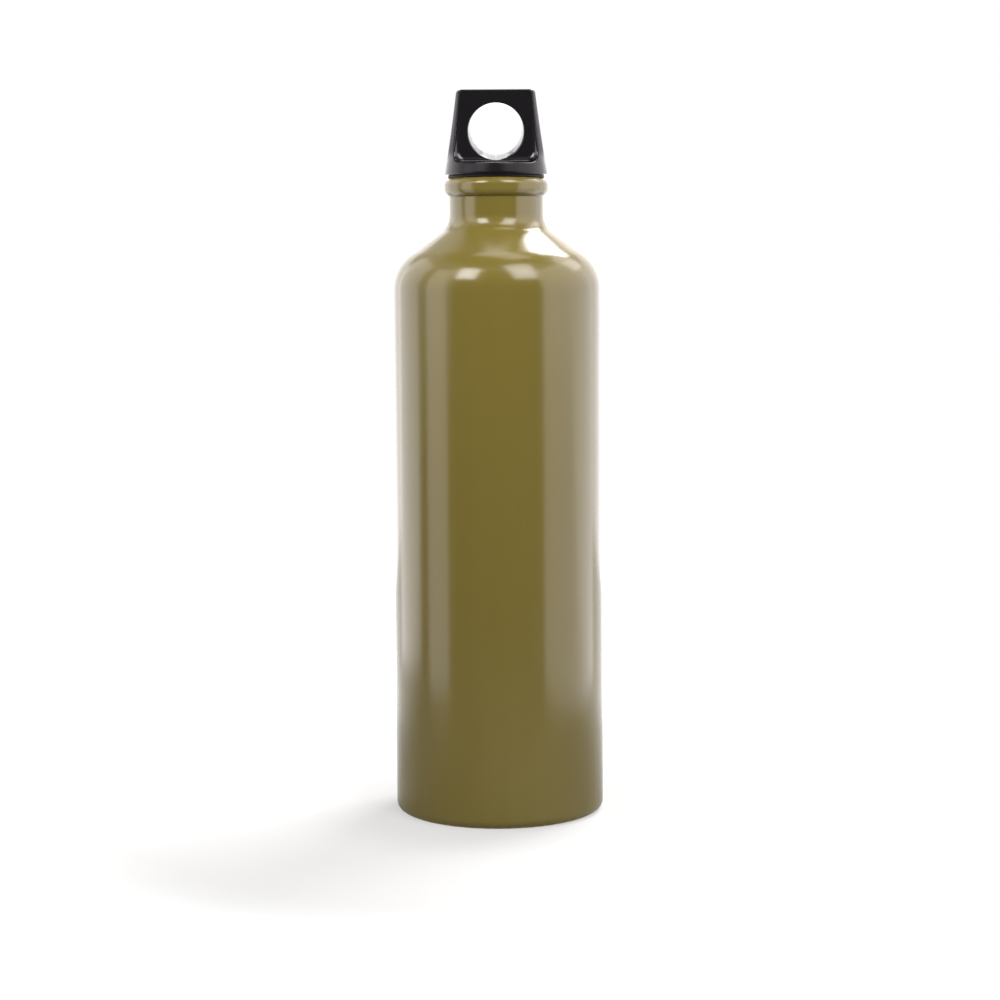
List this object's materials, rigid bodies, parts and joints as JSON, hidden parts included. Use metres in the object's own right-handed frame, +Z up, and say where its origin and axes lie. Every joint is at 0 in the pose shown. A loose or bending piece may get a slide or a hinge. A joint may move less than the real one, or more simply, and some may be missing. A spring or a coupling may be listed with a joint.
{
  "type": "camping fuel bottle",
  "caption": "Slim aluminium fuel bottle with a rolled rim and a black screw cap whose scooped loop takes a carabiner or strap.",
  "frame": {"origin": "centre of the standing ring, on the surface that the bottle stands on", "axes": "+Z up through the neck and cap; the closed cap's loop hole runs along Y, so the loop lies along X"},
  "size_m": [0.073, 0.073, 0.2523],
  "materials": {
    "olive_paint": "semi-gloss",
    "bare_aluminium": "turned",
    "black_rubber": "matt",
    "black_plastic": "gloss",
    "plug_plastic": "satin"
  },
  "bodies": {
    "bottle": {"bottle_shell": "olive_paint", "neck_insert": "bare_aluminium"},
    "seal": {"seal_washer": "black_rubber"},
    "cap": {"cap_cover": "black_plastic", "cap_plug": "plug_plastic"}
  },
  "joints": [
    {"name": "cap_rise", "type": "slide", "parent": "bottle", "child": "seal", "axis": [0, 0, 1], "range_m": [0, 0.018]},
    {"name": "cap_turn", "type": "hinge", "parent": "seal", "child": "cap", "pos_m": [0, 0, 0.22282], "axis": [0, 0, 1], "range_deg": [0, 1620]}
  ],
  "couplings": [
    {"joint": "cap_rise", "follows": "cap_turn", "m_per_rad": 0.00063662}
  ]
}
